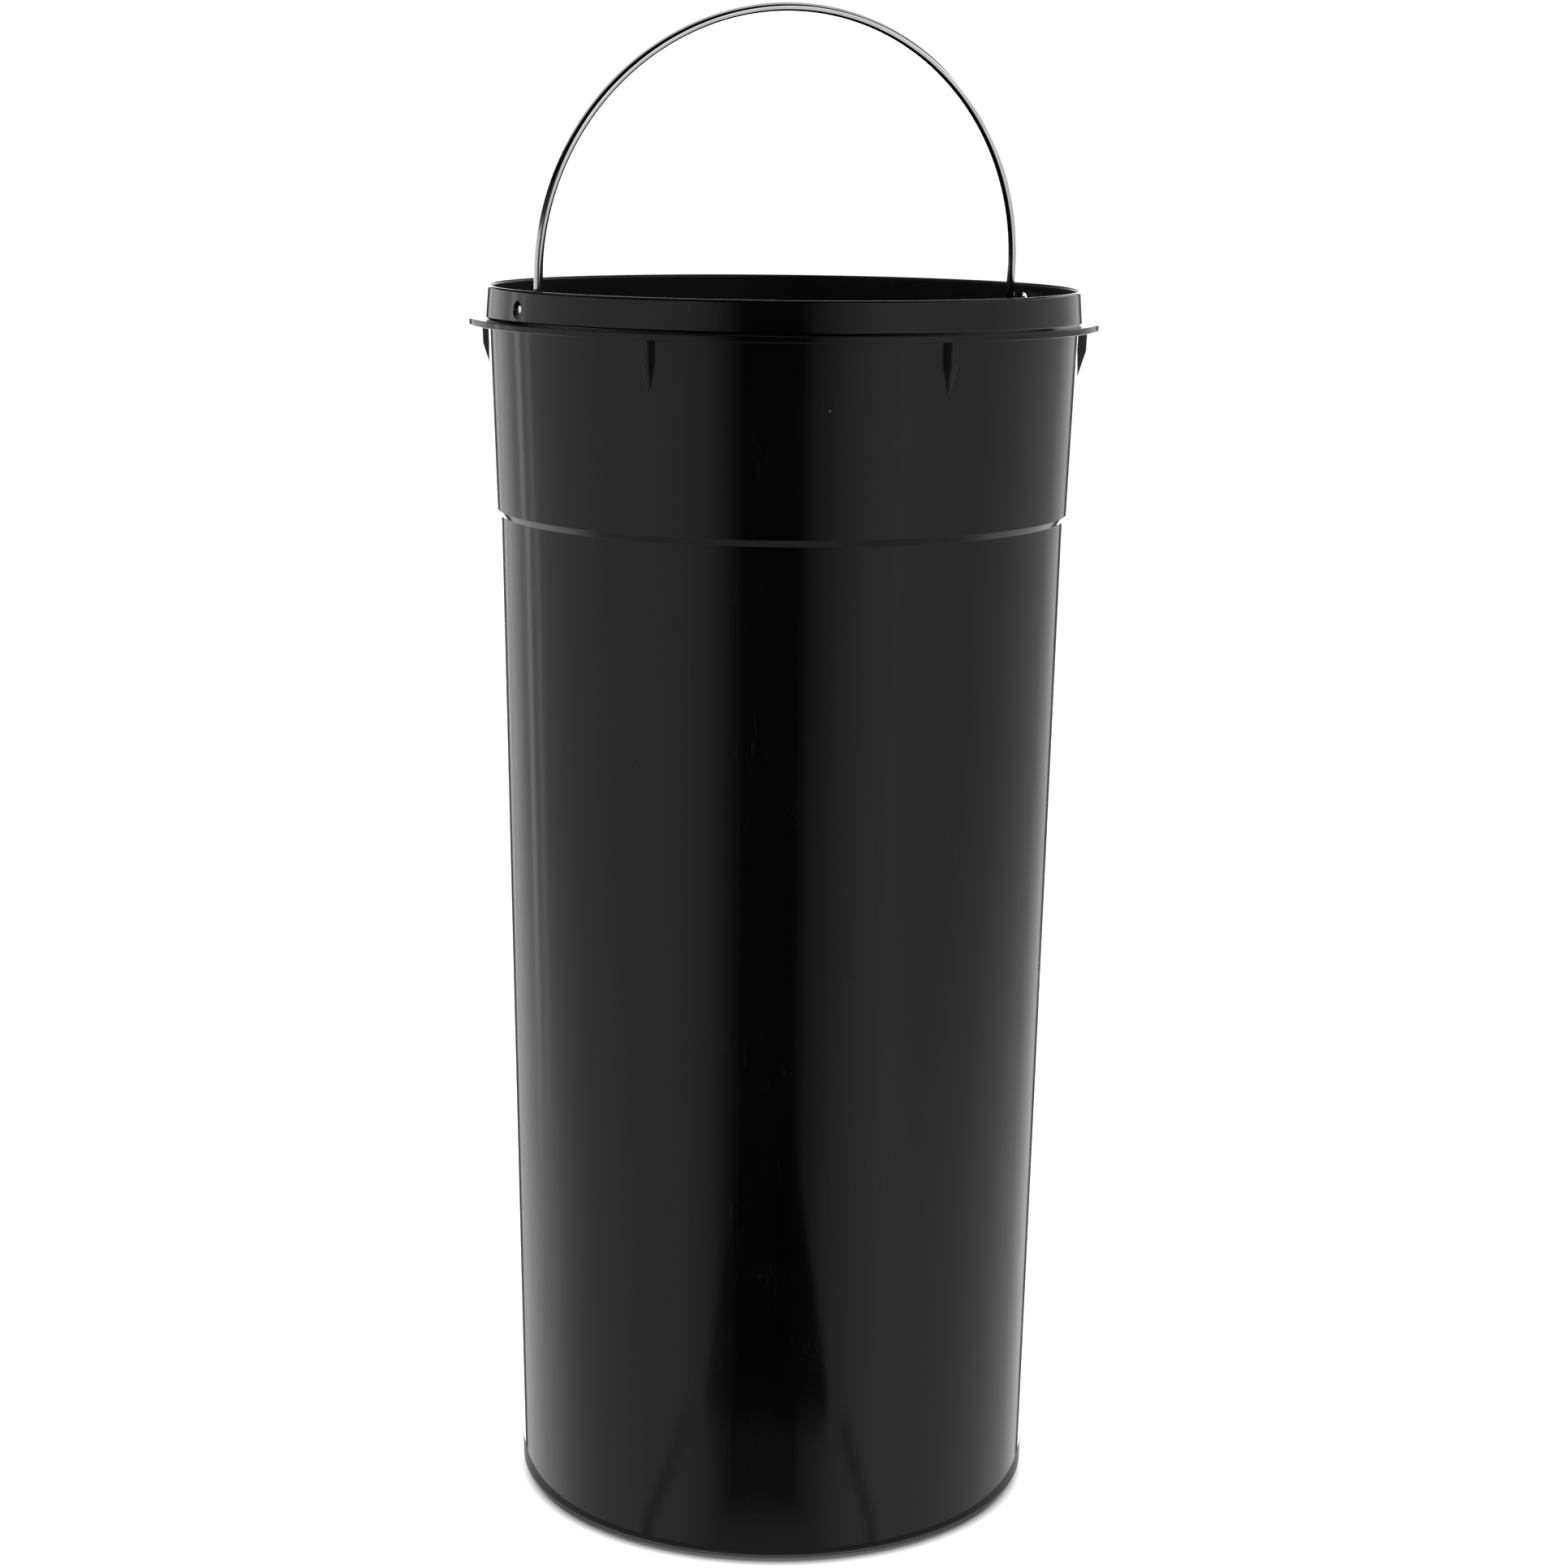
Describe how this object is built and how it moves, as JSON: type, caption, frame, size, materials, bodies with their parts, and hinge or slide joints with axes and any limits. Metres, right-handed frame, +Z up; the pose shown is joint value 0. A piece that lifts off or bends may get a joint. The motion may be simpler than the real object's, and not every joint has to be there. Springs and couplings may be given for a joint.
{
  "type": "bucket",
  "caption": "Tall tapered round bucket with a stepped glossy plastic wall, a flanged collar at the mouth and a bright wire bail that swings down to the rim.",
  "frame": {"origin": "centre of the base, on the plane that the bucket stands on", "axes": "+Z up the bucket's axis, +X along the line through the two pivot holes, -Y the front, which the bail leans towards"},
  "size_m": [0.2902, 0.2902, 0.6964],
  "materials": {
    "black_plastic": "glossy moulded, very light scratches",
    "polished_steel": "bright drawn wire"
  },
  "bodies": {
    "bucket": {"bucket": "black_plastic"},
    "bail": {"bail_handle": "polished_steel"}
  },
  "joints": [
    {"name": "bail_swing", "type": "hinge", "parent": "bucket", "child": "bail", "pos_m": [0, 0, 0.5618], "axis": [1, 0, 0], "range_deg": [-85, 78.8]}
  ]
}
